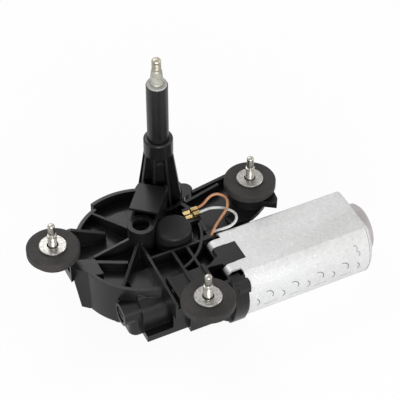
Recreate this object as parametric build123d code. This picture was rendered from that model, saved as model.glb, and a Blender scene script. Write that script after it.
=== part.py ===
from build123d import *
import math
import os

# Rear wiper motor: a DC motor turns a worm, the worm turns a wheel with a crank pin, and a
# connecting rod swings the lever of the upright output shaft.
#
# Frame, in mm: the origin is on the output shaft's axis, in the plane the motor lies on. +X runs
# along the motor towards its closed end, +Y away from the front mount, +Z up the output shaft.

# ---------------------------------------------------------------- clearances
FIT = 0.1           # between pieces of one body that are pressed or laid together
RUN = 0.05          # radial, shaft in its bush
GAP = 0.3           # between pieces that move past each other

# ---------------------------------------------------------------- gear pair
MODULE = 1.25
WHEEL_TEETH = 52
WORM_PITCH_R = 5.5
WORM_TIP_R = 6.7
FLANK_ANGLE = 20.0
BACKLASH = 0.2      # play of each flank, half of it taken from the thread, half from the teeth
WHEEL_FACE = 10.0
WHEEL_PITCH_R = MODULE * WHEEL_TEETH / 2
AXIAL_PITCH = math.pi * MODULE

# ---------------------------------------------------------------- main places
WHEEL_X, WHEEL_Y = -28.8, -34.4
MOTOR_Z = 20.7
MOTOR_Y = WHEEL_Y - WHEEL_PITCH_R - WORM_PITCH_R
RIM_Z = 37.2        # top edge of the gear case
HUB_TOP = 52.0
RUBBER_TOP = 52.0

# ---------------------------------------------------------------- crank linkage
CRANK = 10.0
ROCKER = 12.6
GROUND = math.hypot(WHEEL_X, WHEEL_Y)
ROD_LENGTH = math.sqrt(GROUND ** 2 + CRANK ** 2 - ROCKER ** 2)
PIN_R = 3.0
EYE_WALL = 2.6
ROD_T = 3.0
LEVER_T = 3.5

# ---------------------------------------------------------------- gear case
WALL = 2.6
COVER_T = 2.2
CASE_R = 43.5
CASE_Z = 5.0        # underside of the case; the cover's dish goes on down to the resting plane
STEP_R = CASE_R + 3.2                # the case's far side stands out by a step
STEP_TOP = 38.8
STEP_ANGLE0, STEP_ANGLE1 = 30.0, 111.0
ARM_OPENING = (165.0, 195.0)
NECK_OPENING = (-71.0, -14.0)
FLOOR_T = 2.4
FOOT_T = 5.0        # lip of the case above the cover
PLATE_T = 1.5       # cover plate
RIB_T = 1.8
HUB_R = 8.7
HUB_BORE_R = 5.6
HUB_BORE_DEPTH = 7.0
BULGE_R = 17.0      # ring wall round the foot of the shaft tower
PLATE_W = 19.0      # bare plate between hub and tower
PLATE_TOP = HUB_TOP + 6.0
NECK_RIB_Y = -54.5
CROSS_RIB_X = (-16.7, -6.6)
RING_RIB_R = CASE_R - 4.8

# ---------------------------------------------------------------- output shaft and its tower
SHAFT_R = 4.5
TOWER_R = 7.4
COLLAR_R = 9.6
COLLAR_Z0, COLLAR_Z1 = 75.6, 87.5
SLEEVE_R = 7.0
SLEEVE_WALL = 1.1
SHAFT_TOP = 151.7
THREAD_R = 3.0
THREAD_L = 8.7
CONE_R0, CONE_R1 = 4.4, 3.4
CONE_L = 9.5
CONE_Z1 = SHAFT_TOP - THREAD_L
CONE_Z0 = CONE_Z1 - CONE_L
SLEEVE_TOP = CONE_Z0 - 2.5
UPPER_BUSH_L = 21.5
PANEL_W = 8.6       # flat panel on the tower, between its two front ribs
PANEL_TOP = 70.5
TOWER_RIBS = 8
RIB_FOOT_R = 15.0
SLEEVE_Z0 = 60.0
LOWER_BUSH_TOP = 44.0

# ---------------------------------------------------------------- mounts
MOUNT_BASE_Y = -27.8
MOUNT_LEFT_X, MOUNT_REAR_X = -86.4, 52.4
MOUNT_FRONT = (-18.0, -108.9)
GROMMET_R = 17.0
GROMMET_FLANGE_T = 6.0
GROMMET_NECK_R = 9.0
EYE_R = 14.2
EYE_T = 3.0
FOOT_R = 12.4       # soft foot of the grommet below the eye
FOOT_TIP_R = 9.5
FOOT_H = 4.5
STUD_HEAD_T = 3.0
MOUNT_SLEEVE_R = 5.0
PRESS_R = 3.6       # plain part of the stud, pressed into the sleeve
STUD_R = 3.0
STUD_TOP = 71.2
WASHER_R = 8.8
WASHER_T = 1.6

# ---------------------------------------------------------------- motor
CAN_R = 27.6
CAN_HALF = 20.7     # half height across the two flats
CAN_WALL = 1.6
CAN_X0, CAN_X1 = 15.9, 105.9
BOSS_R = 17.0
BOSS_X = 113.5
COLLAR_X = 13.9     # end of the housing's collar round the can
COLLAR_GROW = 1.6
TONGUE_X = 22.8
TONGUE_W = 16.0
TAB_Y = 11.4
TAB_W = 6.2
ARMATURE_R = 18.6
ROTOR_R = 4.0       # armature shaft

# ---------------------------------------------------------------- connector socket
SOCKET_X, SOCKET_Z = 30.0, 14.5
SOCKET_W, SOCKET_H = 17.0, 9.0
SOCKET_WALL = 1.6
SOCKET_Y0, SOCKET_Y1 = -29.0, -6.0
PIN_X = (SOCKET_X - 5.4, SOCKET_X, SOCKET_X + 5.4)

MOUNTS = {"left": (MOUNT_LEFT_X, MOUNT_BASE_Y), "rear": (MOUNT_REAR_X, MOUNT_BASE_Y), "front": MOUNT_FRONT}
WHEEL = (WHEEL_X, WHEEL_Y)
SHAFT = (0.0, 0.0)


# ---------------------------------------------------------------- helpers
def cyl(radius, z0, z1, at=SHAFT):
    return Pos(at[0], at[1], (z0 + z1) / 2) * Cylinder(radius, z1 - z0)


def tube(outer, inner, z0, z1, at=SHAFT):
    return cyl(outer, z0, z1, at) - cyl(inner, z0 - 1, z1 + 1, at)


def cyl_x(radius, x0, x1, y=MOTOR_Y, z=MOTOR_Z):
    return Pos((x0 + x1) / 2, y, z) * Rot(0, 90, 0) * Cylinder(radius, x1 - x0)


def box(x0, x1, y0, y1, z0, z1):
    return Pos((x0 + x1) / 2, (y0 + y1) / 2, (z0 + z1) / 2) * Box(x1 - x0, y1 - y0, z1 - z0)


def prism(points, z0, z1):
    outline = make_face(Polyline(*points, close=True))
    return Pos(0, 0, z0) * extrude(outline, z1 - z0)


def polar(centre, radius, angle):
    a = math.radians(angle)
    return centre[0] + radius * math.cos(a), centre[1] + radius * math.sin(a)


def bar(p, q, width, z0, z1):
    """Straight block between two plan points, square at both ends."""
    length = math.dist(p, q)
    angle = math.degrees(math.atan2(q[1] - p[1], q[0] - p[0]))
    middle = ((p[0] + q[0]) / 2, (p[1] + q[1]) / 2, (z0 + z1) / 2)
    return Pos(*middle) * Rot(0, 0, angle) * Box(length, width, z1 - z0)


def rib(p, q, low_p, top_p, low_q, top_q, thickness=RIB_T):
    """Upright rib from plan point p to q, with its own bottom and top height at each end."""
    length = math.dist(p, q)
    along = Vector((q[0] - p[0]) / length, (q[1] - p[1]) / length, 0)
    plane = Plane(origin=(p[0], p[1], 0), x_dir=along, z_dir=along.cross(Vector(0, 0, 1)))
    corners = [(0, low_p), (length, low_q), (length, top_q), (0, top_p)]
    face = plane * make_face(Polyline(*corners, close=True))
    return extrude(face, thickness / 2, both=True)


def union(pieces):
    pieces = list(pieces)
    return pieces[0].fuse(*pieces[1:])


# ---------------------------------------------------------------- places worked out
HUB_ANGLE = math.degrees(math.atan2(-WHEEL_Y, -WHEEL_X))     # from the wheel to the output shaft
CRANK_ANGLE = HUB_ANGLE - 90.0                               # the crank stands square to that line
CRANK_PIN = polar(WHEEL, CRANK, CRANK_ANGLE)


def lever_pin_place():
    """Where the rod's far eye meets the lever's circle, on the crank's side of the shaft."""
    dx, dy = -CRANK_PIN[0], -CRANK_PIN[1]
    reach = math.hypot(dx, dy)
    along = (ROD_LENGTH ** 2 - ROCKER ** 2 + reach ** 2) / (2 * reach)
    off = math.sqrt(ROD_LENGTH ** 2 - along ** 2)
    ux, uy = dx / reach, dy / reach
    return CRANK_PIN[0] + along * ux + off * uy, CRANK_PIN[1] + along * uy - off * ux


LEVER_PIN = lever_pin_place()

ROD_Z0 = COVER_T + 2.2
ROD_Z1 = ROD_Z0 + ROD_T
LEVER_Z0 = ROD_Z1 + GAP
LEVER_Z1 = LEVER_Z0 + LEVER_T
EYE_OUT = PIN_R + EYE_WALL
LEVER_ROOM_R = ROCKER + EYE_OUT + 0.8
LINK_CEILING = LEVER_Z1 + 2.8
WHEEL_Z0 = MOTOR_Z - WHEEL_FACE / 2
WHEEL_Z1 = MOTOR_Z + WHEEL_FACE / 2
CEILING = WHEEL_Z1 + 2.6             # underside of the case's floor, above the wheel
FLOOR_Z = CEILING + FLOOR_T
ROOM_R = CASE_R - WALL
AXLE_R = 4.0
AXLE_TOP = HUB_TOP - HUB_BORE_DEPTH - 2.0
BUSH_R = 6.4
TUNNEL_R = WORM_TIP_R + 1.0
TUNNEL_OUT = TUNNEL_R + WALL
END_BOSS_R = 7.8
END_BOSS_X = -61.3
BODY_X0 = -50.0                      # left end of the worm housing
NECK_X0 = -12.0
TUNNEL_X1 = NECK_X0 + 8.0
NECK_TOP = MOTOR_Z + CAN_HALF
FLANGE_X = 6.0                       # start of the motor flange
BASE_FRONT = MOTOR_Y - 16.0
SPIGOT_X = CAN_X0 + 1.5              # end of the flange's step inside the can's mouth
NECK_FRONT = MOTOR_Y - 20.0
NECK_REAR = MOTOR_Y + 21.2
EYE_Z1 = RUBBER_TOP - GROMMET_FLANGE_T
EYE_Z0 = EYE_Z1 - EYE_T
FOOT_Z0 = EYE_Z0 - FOOT_H
STUD_Z0 = FOOT_Z0 - STUD_HEAD_T
LONG_RIB_END = (WHEEL_X - 5.4, MOUNT_FRONT[1] + 10.0)
ROTOR_BUSH_R = 7.0

SCREW_BOSS_R = 3.6
EAR_R = 6.2
SCREW_R = 1.7
SCREW_HEAD_R = 3.0
SCREW_HEAD_T = 1.6
SCREW_DEPTH = 9.0
SCREW_RING_R = ROOM_R - 2.4
DISH_R = SCREW_RING_R - SCREW_HEAD_R - 1.0
SCREW_PLACES = [
    polar(WHEEL, SCREW_RING_R, 112),
    polar(WHEEL, SCREW_RING_R, 165),
    polar(WHEEL, SCREW_RING_R, 222),
    (BODY_X0 + 24.0, BASE_FRONT + 6.0),
    (-5.0, NECK_FRONT + 6.0),
    (1.2, NECK_REAR - 6.0),
    polar(SHAFT, LEVER_ROOM_R + WALL + 2.9, 25),
]


# ---------------------------------------------------------------- gear case
def base_outline(inset=0.0):
    """Plan outline of the gear case's foot; the cover is the same outline drawn in by the inset."""
    case = Pos(*WHEEL) * Circle(CASE_R - inset)
    link_r = LEVER_ROOM_R + WALL - inset
    bridge = Pos(WHEEL_X / 2, WHEEL_Y / 2) * Rot(0, 0, HUB_ANGLE) * Rectangle(GROUND, 2 * link_r)
    x0, x1 = BODY_X0 + inset, NECK_X0 + 2
    depth = WHEEL_Y - BASE_FRONT - inset
    body = Pos((x0 + x1) / 2, WHEEL_Y - depth / 2) * Rectangle(x1 - x0, depth)
    x1 = FLANGE_X - inset
    neck_y0, neck_y1 = NECK_FRONT + inset, NECK_REAR - inset
    neck_foot = Pos((NECK_X0 + x1) / 2, (neck_y0 + neck_y1) / 2) * Rectangle(x1 - NECK_X0, neck_y1 - neck_y0)
    ear = Pos(*SCREW_PLACES[-1]) * Circle(EAR_R - inset)
    return case + Circle(link_r) + bridge + body + neck_foot + ear


def lever_room(z0, z1, grow=0.0):
    reach = LEVER_ROOM_R + grow
    return cyl(reach, z0, z1) + bar(WHEEL, SHAFT, 2 * reach, z0, z1)


def sector(angle0, angle1, z0, z1, reach=70.0):
    """Wedge round the wheel's axis between two angles."""
    steps = 6
    arc = [polar(WHEEL, reach, angle0 + (angle1 - angle0) * k / steps) for k in range(steps + 1)]
    return prism([WHEEL] + arc, z0, z1)


def stepped_disc(inset, z0, z1):
    """The gear case in plan: a disc whose far side, towards the tower, stands out by a step."""
    step = cyl(STEP_R - inset, z0, z1, WHEEL) & sector(STEP_ANGLE0, STEP_ANGLE1, z0, z1)
    return cyl(CASE_R - inset, z0, z1, WHEEL) + step


def case_rim():
    """Upstanding rim of the case, open towards the left arm and towards the neck."""
    low = stepped_disc(0, FLOOR_Z - 1, RIM_Z) - stepped_disc(WALL, FLOOR_Z - 2, RIM_Z + 1)
    high = tube(STEP_R, STEP_R - WALL, RIM_Z - 1, STEP_TOP, WHEEL)
    high = high & sector(STEP_ANGLE0, STEP_ANGLE1, RIM_Z - 1, STEP_TOP)
    arm_side = sector(*ARM_OPENING, FLOOR_Z, STEP_TOP + 1)
    neck_side = sector(*NECK_OPENING, FLOOR_Z, STEP_TOP + 1)
    return low + high - arm_side - neck_side


def shaft_tower():
    """Tube, collar and the ribs that carry the output shaft's sleeve."""
    parts = [cyl(TOWER_R + 1.6, LINK_CEILING, FLOOR_Z), cyl(TOWER_R, FLOOR_Z - 1, COLLAR_Z1)]
    collar = cyl(COLLAR_R, COLLAR_Z0, COLLAR_Z1)
    parts.append(fillet(collar.edges().filter_by(GeomType.CIRCLE).sort_by(Axis.Z)[-1], 1.5))
    facing = HUB_ANGLE - 180 + 180 / TOWER_RIBS
    panel_back, panel_face = polar(SHAFT, TOWER_R - 3, facing), polar(SHAFT, TOWER_R + 0.9, facing)
    parts.append(bar(panel_back, panel_face, PANEL_W, FLOOR_Z - 1, PANEL_TOP))
    for k in range(TOWER_RIBS):
        angle = math.radians(HUB_ANGLE + k * 360 / TOWER_RIBS)
        outward = Vector(math.cos(angle), math.sin(angle), 0)
        plane = Plane(origin=(0, 0, 0), x_dir=outward, z_dir=outward.cross(Vector(0, 0, 1)))
        corners = [(TOWER_R - 1, FLOOR_Z - 1), (RIB_FOOT_R, FLOOR_Z - 1), (RIB_FOOT_R, RIM_Z),
                   (COLLAR_R - 0.2, COLLAR_Z0 + 1), (TOWER_R - 1, COLLAR_Z0 + 1)]
        face = plane * make_face(Polyline(*corners, close=True))
        parts.append(extrude(face, RIB_T / 2, both=True))
    return union(parts)


def hub_and_plate():
    """Blind hub over the wheel's axle and the bare plate that bridges it to the tower."""
    hub = cyl(HUB_R, FLOOR_Z - 1, HUB_TOP, WHEEL)
    near = polar(WHEEL, 6.6, HUB_ANGLE)
    far = polar(WHEEL, 30.6, HUB_ANGLE)
    plate = bar(near, far, PLATE_W, PLATE_TOP - 1.8, PLATE_TOP)
    side = HUB_ANGLE + 90
    walls = []
    for s in (-PLATE_W * 0.4, PLATE_W * 0.4):
        p = polar(polar(WHEEL, 3.0, HUB_ANGLE), s, side)
        q = polar(polar(WHEEL, 34.0, HUB_ANGLE), s, side)
        walls.append(rib(p, q, FLOOR_Z - 1, HUB_TOP - 1.5, FLOOR_Z - 1, PLATE_TOP - 1.0))
    tip = polar(WHEEL, 38.0, HUB_ANGLE)
    middle = rib(WHEEL, tip, FLOOR_Z - 1, HUB_TOP - 9, FLOOR_Z - 1, PLATE_TOP - 1.0)
    return union([hub, plate, middle] + walls)


def floor_ribs():
    """Ribs that fan out from the hub over the recessed floor, and the raised sector of the floor."""
    fan = [(117, ROOM_R + 0.5, RIM_Z), (178, ROOM_R - 7.9, RIM_Z - 1), (229, ROOM_R + 0.5, RIM_Z - 0.5)]
    pieces = []
    for angle, reach, end_top in fan:
        start = polar(WHEEL, HUB_R - 1.5, angle)
        end = polar(WHEEL, reach, angle)
        pieces.append(rib(start, end, FLOOR_Z - 1, HUB_TOP - 9, FLOOR_Z - 1, end_top))
    pad = tube(ROOM_R - 6.9, HUB_R + 5.3, FLOOR_Z - 1, FLOOR_Z + 2.0, WHEEL)
    pad = pad & sector(85, 114, FLOOR_Z - 1, FLOOR_Z + 2.0)
    pieces.append(pad)
    long_start = (WHEEL_X - 3.6, WHEEL_Y - 8.0)
    pieces.append(rib(long_start, LONG_RIB_END, FLOOR_Z - 1, NECK_TOP + 1.6, FLOOR_Z - 1, NECK_TOP + 1.6))
    return union(pieces)


def worm_housing():
    """Tunnel bulge of the worm, its end boss and the front lip."""
    depth = WHEEL_Y - 20
    body = box(BODY_X0, NECK_X0, MOTOR_Y - TUNNEL_OUT, depth, CASE_Z, MOTOR_Z)
    tunnel = cyl_x(TUNNEL_OUT, BODY_X0, FLANGE_X)
    crown = box(BODY_X0, NECK_X0, MOTOR_Y - 3.0, depth, MOTOR_Z, MOTOR_Z + TUNNEL_OUT + 2.0)
    front = crown.edges().filter_by(Axis.X).group_by(Axis.Z)[-1].sort_by(Axis.Y)[0]
    crown = fillet(front, 3.0)
    end_boss = cyl_x(END_BOSS_R, END_BOSS_X, BODY_X0 + 1)
    skirt = box(BODY_X0 - 7.5, BODY_X0 + 1, MOTOR_Y - END_BOSS_R, MOTOR_Y + END_BOSS_R, CASE_Z, MOTOR_Z)
    skirt = fillet(skirt.edges().filter_by(Axis.Z).group_by(Axis.X)[0], 5.0)
    link = box(END_BOSS_X + 1.5, BODY_X0 + 1, MOTOR_Y, MOTOR_Y + 18, MOTOR_Z - 4, MOTOR_Z + END_BOSS_R - 1.0)
    return union([body, tunnel, crown, end_boss, skirt, link])


def neck():
    """Block between the round case and the motor flange, with crossed ribs standing on it."""
    block = box(NECK_X0 - 10, FLANGE_X + 1, NECK_FRONT, NECK_REAR, CASE_Z, FLOOR_Z)
    top = NECK_TOP
    base = FLOOR_Z - 1
    front_wall = box(NECK_X0 + 2, FLANGE_X + 1, NECK_FRONT, NECK_FRONT + WALL, base, RIM_Z + 1)
    along = box(WHEEL_X - 3, CAN_X0 - 4.0, NECK_RIB_Y - RIB_T / 2, NECK_RIB_Y + RIB_T / 2, base, top)
    cross = [box(x - RIB_T / 2, x + RIB_T / 2, NECK_FRONT, NECK_RIB_Y, base, top) for x in CROSS_RIB_X]
    ring = tube(RING_RIB_R + RIB_T / 2, RING_RIB_R - RIB_T / 2, base, top, WHEEL) & sector(-71, -8, base, top)
    tip = (FLANGE_X - 9.5, MOTOR_Y - 5.0)
    web = prism([tip, (FLANGE_X + 2, MOTOR_Y - 6.5), (FLANGE_X + 2, MOTOR_Y + 1.5)], top - 2.4, top)
    web_foot = rib(tip, (FLANGE_X + 2, MOTOR_Y - 3), base, top, base, top)
    wedge = [(FLANGE_X - 7.3, NECK_FRONT + 1), (FLANGE_X + 1, NECK_FRONT + 1),
             (FLANGE_X + 1, NECK_FRONT - 3.6), (FLANGE_X - 2, NECK_FRONT - 3.6)]
    gusset = prism(wedge, CASE_Z, CASE_Z + 8.0)
    return union([block, front_wall, along, ring, web, web_foot, gusset] + cross)


def can_section(grow=0.0):
    """Cross-section of the motor can: a circle with flat top and bottom, drawn in the YZ plane."""
    width = 2 * (CAN_R + grow)
    shape = Circle(CAN_R + grow) & Rectangle(2 * (CAN_HALF + grow), width)
    return shape


def can_solid(x0, x1, grow=0.0):
    """The section runs along +X; its flats face up and down."""
    plane = Plane(origin=(x0, MOTOR_Y, MOTOR_Z), x_dir=(0, 0, 1), z_dir=(1, 0, 0))
    return extrude(plane * can_section(grow), x1 - x0)


def motor_flange():
    """Collar of the housing that holds the open end of the can."""
    top = MOTOR_Z + CAN_HALF
    face = can_solid(FLANGE_X, CAN_X0 - FIT) + can_solid(FLANGE_X, SPIGOT_X, -CAN_WALL - FIT)
    cutback = box(FLANGE_X - 1, CAN_X0 + 1, MOTOR_Y - 19.5, MOTOR_Y + 22.5, top - 4.5, top + 5)
    rim = can_solid(FLANGE_X - 0.5, COLLAR_X, COLLAR_GROW) & box(-10, 30, -200, 0, CASE_Z - 5, top - 3.0)
    half = TONGUE_W / 2 - 1
    stem = box(FLANGE_X + 1, CAN_X0 - FIT, MOTOR_Y - half, MOTOR_Y + half, top - 6, top)
    tongue = box(FLANGE_X + 1, TONGUE_X - FIT, MOTOR_Y - TONGUE_W / 2 + FIT, MOTOR_Y + TONGUE_W / 2 - FIT,
                 top - CAN_WALL, top)
    lug_y = MOTOR_Y - CAN_R
    lug = box(COLLAR_X - 5, COLLAR_X + 3.0, lug_y + 0.5, lug_y + 7.0, MOTOR_Z + 10.0, top - 3.0)
    lug = lug & can_solid(0, 30, COLLAR_GROW + 1.6)
    return union([face - cutback, rim, stem, tongue, lug])


# ---------------------------------------------------------------- mount arms
def eye(at, low):
    """Round seat of a grommet: a plate with the neck's hole over an open counterbore."""
    return cyl(EYE_R, low, EYE_Z1, at)


def left_arm():
    at = MOUNTS["left"]
    parts = [eye(at, EYE_Z0)]
    parts.append(cyl(EYE_R, CEILING, EYE_Z0 + 1, at) & box(at[0] + 6, at[0] + 30, -100, 100, 0, 90))
    floor = [(at[0] + 8, at[1] + 10), (at[0] + 17, at[1] + 14), (WHEEL_X - 18, MOUNT_BASE_Y + 9.9),
             (WHEEL_X - 36, WHEEL_Y - 12), (at[0] + 8, at[1] - 10)]
    parts.append(prism(floor, CEILING, FLOOR_Z))
    far_end = (WHEEL_X - 18, MOUNT_BASE_Y + 9.9)
    outer, bend = (at[0] + 9, at[1] + 13), (at[0] + 17.4, at[1] + 14.4)
    parts.append(rib(outer, bend, CEILING, EYE_Z1, CEILING, EYE_Z1, 2.4))
    parts.append(rib(bend, far_end, CEILING, EYE_Z1, FLOOR_Z - 1, RIM_Z, 2.4))
    elbow = (WHEEL_X - 32.0, WHEEL_Y - 5.1)
    near = (at[0] + 12, at[1] - 6.0)
    parts.append(rib(near, elbow, CEILING, RIM_Z, FLOOR_Z - 1, RIM_Z, 2.4))
    parts.append(rib(elbow, (WHEEL_X - 15.5, WHEEL_Y - 13.5), FLOOR_Z - 1, RIM_Z, FLOOR_Z - 1, RIM_Z, 2.4))
    high = [(7.3, -7.8), (14.2, -4.2), (24.4, -8.2), (24.4, -22.2), (18.1, -20.8)]
    low = [(10.9, -14.7), (14.4, -10.2), (24.4, -10.2), (24.4, -20.2), (15.1, -18.6)]
    top_face = Pos(*at, RIM_Z) * make_face(Polyline(*high, close=True))
    low_face = Pos(*at, CASE_Z) * make_face(Polyline(*low, close=True))
    parts.append(loft([low_face, top_face], ruled=True))
    return union(parts)


def front_arm():
    at = MOUNTS["front"]
    parts = [cyl(EYE_R - 0.7, EYE_Z0, EYE_Z1, at)]
    x0, x1 = at[0] - 12.0, at[0] + 12.0
    for x in (x0, at[0], x1):
        reach = at[1] + (4 if x == at[0] else 9)
        parts.append(rib((x, BASE_FRONT + 12), (x, reach), CASE_Z, EYE_Z1 - 1, EYE_Z0 - 3, EYE_Z1 - 1, 2.4))
    parts.append(prism([(x0, BASE_FRONT + 12), (x1, BASE_FRONT + 12), (x1, at[1] + 9), (x0, at[1] + 9)],
                       EYE_Z0 - 3, EYE_Z0))
    parts.append(box(x0 - 2.0, x1 + 2.0, BASE_FRONT, BASE_FRONT + WALL, CASE_Z, EYE_Z0))
    return union(parts)


def rear_arm():
    at = MOUNTS["rear"]
    outer0, outer1 = (20.0, -8.0), (at[0] - 4.5, at[1] + 24.0)
    inner0, inner1 = (11.7, -15.0), (at[0] - 13.6, at[1] + 18.8)
    floor = [(4, -12), outer0, outer1, (at[0] + 6, at[1] + 14), (at[0] - 6, at[1] - 12),
             (at[0] - 10, NECK_REAR + 3), (FLANGE_X, NECK_REAR - 1), (-6, -40)]
    parts = [prism(floor, CEILING, FLOOR_Z), eye(at, EYE_Z0 - 6.5)]
    parts.append(rib(outer0, outer1, CEILING - 6, RIM_Z, CEILING - 6, RIM_Z, 2.4))
    parts.append(rib(inner0, inner1, CEILING, RIM_Z, CEILING, RIM_Z, 2.0))
    column = Pos(at[0], at[1], (CEILING + EYE_Z0 - 4) / 2) * Cone(10.0, EYE_R - 0.3, EYE_Z0 - 4 - CEILING)
    parts.append(column)
    end = [(outer1[0] - 1.5, outer1[1] - 1.0), (at[0] - 5, at[1] + 25.2), (at[0] - 2, at[1] + 24.4),
           (at[0] + 9, at[1] + 13), (at[0] + 4, at[1] + 10)]
    parts.append(prism(end, CEILING - 6, RIM_Z))
    shelf = [(at[0] + 9, at[1] - 9), (at[0] + 3.7, at[1] - 13.6), (at[0] - 1.9, at[1] - 17.0),
             (at[0] - 9.4, at[1] - 20.5), (at[0] - 24, at[1] - 19), (at[0] - 24, at[1] - 12), at]
    parts.append(prism(shelf, RIM_Z - 2.2, RIM_Z + 0.8))
    corner = [(at[0], at[1] - 10), (at[0] + 12.6, at[1] - 6), (at[0] + 12.6, at[1] - 10.2),
              (at[0] + 11.6, at[1] - 17.2), (at[0] + 9, at[1] - 21.2), (at[0] - 2, at[1] - 13.5)]
    parts.append(prism(corner, EYE_Z0 - 3, EYE_Z0 + 1.5))
    return union(parts) - can_solid(0, CAN_X1, 1.0)


def gear_housing():
    foot = Pos(0, 0, CASE_Z) * extrude(base_outline(), FOOT_T)
    shell = union([foot, stepped_disc(0, CASE_Z, FLOOR_Z), lever_room(CASE_Z, LINK_CEILING + WALL, WALL),
                   cyl(BULGE_R, CASE_Z, RIM_Z), worm_housing(), neck(), left_arm(), front_arm(), rear_arm(),
                   motor_flange(), socket_shell()])
    rooms = [
        stepped_disc(WALL, CASE_Z - 1, CEILING),
        lever_room(CASE_Z - 1, LINK_CEILING),
        cyl(BULGE_R - 2.2, FLOOR_Z, RIM_Z + 1),
    ]
    shell = shell - union(rooms)
    worm_wall = worm_housing() & cyl(CASE_R, CASE_Z, CEILING, WHEEL)
    worm_wall = worm_wall & box(-80, 10, -100, MOTOR_Y + 2.0, 0, CEILING)
    shell = union([shell, case_rim(), worm_wall, shaft_tower(), hub_and_plate(), floor_ribs(), cap_seat(),
                   terminal_block()])
    bosses = [cyl(SCREW_BOSS_R, CASE_Z, CASE_Z + SCREW_DEPTH + 2, at) for at in SCREW_PLACES]
    bosses.append(cyl(EAR_R, CASE_Z, 22.0, SCREW_PLACES[-1]) - cyl(LEVER_ROOM_R + 0.5, 0, 30))
    shell = union([shell] + bosses)
    cuts = [
        cyl(SLEEVE_R + FIT, SLEEVE_Z0, COLLAR_Z1 + 1),
        cyl(BUSH_R, LINK_CEILING - 1, LOWER_BUSH_TOP),
        cyl(SHAFT_R + 0.8, LOWER_BUSH_TOP - 1, SLEEVE_Z0 + 1),
        cyl(HUB_BORE_R, HUB_TOP - HUB_BORE_DEPTH, HUB_TOP + 1, WHEEL),
        cyl(AXLE_R, CASE_Z, AXLE_TOP, WHEEL),
        cyl_x(TUNNEL_R, BODY_X0 + 1.5, TUNNEL_X1),
        cyl_x(ROTOR_BUSH_R + FIT, TUNNEL_X1 - 0.1, FLANGE_X + 2),
        cyl_x(11.5, FLANGE_X + 1.0, CAN_X0 + 8),
        cyl_x(5.6, END_BOSS_X - 1, BODY_X0 + 2),
        cyl(WHEEL_PITCH_R + 3.0, WHEEL_Z0 - 1.0, CEILING, WHEEL),
        can_cut(),
        tab_pockets(),
        cyl(CAP_R + GAP, CAP_Z0, CAP_TOP + 0.6, CAP_PLACE),
    ]
    for at in MOUNTS.values():
        cuts.append(cyl(GROMMET_NECK_R + FIT, EYE_Z0 - 1, EYE_Z1 + 1, at))
        cuts.append(cyl(FOOT_R + GAP, STUD_Z0 - GAP, EYE_Z0, at))
    for at in SCREW_PLACES:
        cuts.append(cyl(SCREW_R, CASE_Z - 1, CASE_Z + SCREW_DEPTH, at))
    return shell - union(cuts)


def can_cut():
    """Everything of the collar that the can and its tabs need free, except the tongue in the can's notch."""
    top = MOTOR_Z + CAN_HALF
    inside = can_solid(CAN_X0 - FIT, CAN_X1, FIT)
    spigot = can_solid(FLANGE_X, SPIGOT_X, -CAN_WALL - FIT)
    kept_tongue = box(FLANGE_X, TONGUE_X - FIT, MOTOR_Y - TONGUE_W / 2 + FIT, MOTOR_Y + TONGUE_W / 2 - FIT,
                      top - CAN_WALL, top + 1)
    half = TONGUE_W / 2 - 1
    stem = box(FLANGE_X, CAN_X0 - FIT, MOTOR_Y - half, MOTOR_Y + half, top - 6, top + 1)
    return inside - spigot - kept_tongue - stem


def tab_pockets():
    """Room for the two curled tabs of the can."""
    top = MOTOR_Z + CAN_HALF
    pockets = []
    for side in (-1, 1):
        y = MOTOR_Y + side * TAB_Y
        half = TAB_W / 2 + GAP
        pockets.append(box(CAN_X0 - 10.2, CAN_X0 + 1, y - half, y + half, top - 5.2, top + 1))
    return union(pockets)


def bottom_cover():
    """Thin plate under the case with a deeper dish below the wheel and the lever."""
    plate = Pos(0, 0, CASE_Z - PLATE_T) * extrude(base_outline(PLATE_T), PLATE_T)
    dish_r = LEVER_ROOM_R + WALL - 0.4
    dish = cyl(DISH_R, 0, CASE_Z, WHEEL) + lever_room(0, CASE_Z - PLATE_T, WALL - 0.4)
    dish = dish - cyl(DISH_R - WALL, COVER_T, CASE_Z + 1, WHEEL) - lever_room(COVER_T, CASE_Z + 1)
    plate = plate - cyl(DISH_R - WALL, 0, CASE_Z + 1, WHEEL) - lever_room(0, CASE_Z + 1)
    cover = plate + dish - can_solid(FLANGE_X - 1, CAN_X1, COLLAR_GROW + GAP)
    holes = [cyl(SCREW_R + FIT, 0, CASE_Z + 1, at) for at in SCREW_PLACES]
    return cover - holes


def cover_screws():
    """Pan-head screws: the head lies under the plate."""
    screws = []
    under = CASE_Z - PLATE_T
    for at in SCREW_PLACES:
        head = cyl(SCREW_HEAD_R, under - SCREW_HEAD_T, under, at)
        shank = cyl(SCREW_R - 0.1, under - 1, CASE_Z + SCREW_DEPTH - 1, at)
        screws.append(head + shank)
    return Compound(screws)


def socket_shell():
    """Connector socket under the rear arm; its mouth faces away from the motor."""
    x0, x1 = SOCKET_X - SOCKET_W / 2 - SOCKET_WALL, SOCKET_X + SOCKET_W / 2 + SOCKET_WALL
    z0, z1 = SOCKET_Z - SOCKET_H / 2 - SOCKET_WALL, SOCKET_Z + SOCKET_H / 2 + SOCKET_WALL
    shell = box(x0, x1, SOCKET_Y0, SOCKET_Y1, z0, z1)
    post = box(x0, x1, SOCKET_Y0, SOCKET_Y0 + 8, z1 - 1, CEILING + 1)
    room = box(SOCKET_X - SOCKET_W / 2, SOCKET_X + SOCKET_W / 2, SOCKET_Y0 + 4, SOCKET_Y1 + 1,
               SOCKET_Z - SOCKET_H / 2, SOCKET_Z + SOCKET_H / 2)
    slots = []
    for x in PIN_X:
        slots.append(box(x - 1.5, x + 1.5, SOCKET_Y0 + 2, SOCKET_Y0 + 12, SOCKET_Z - 0.5, SOCKET_Z + 0.5))
    return shell + post - room - slots


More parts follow.
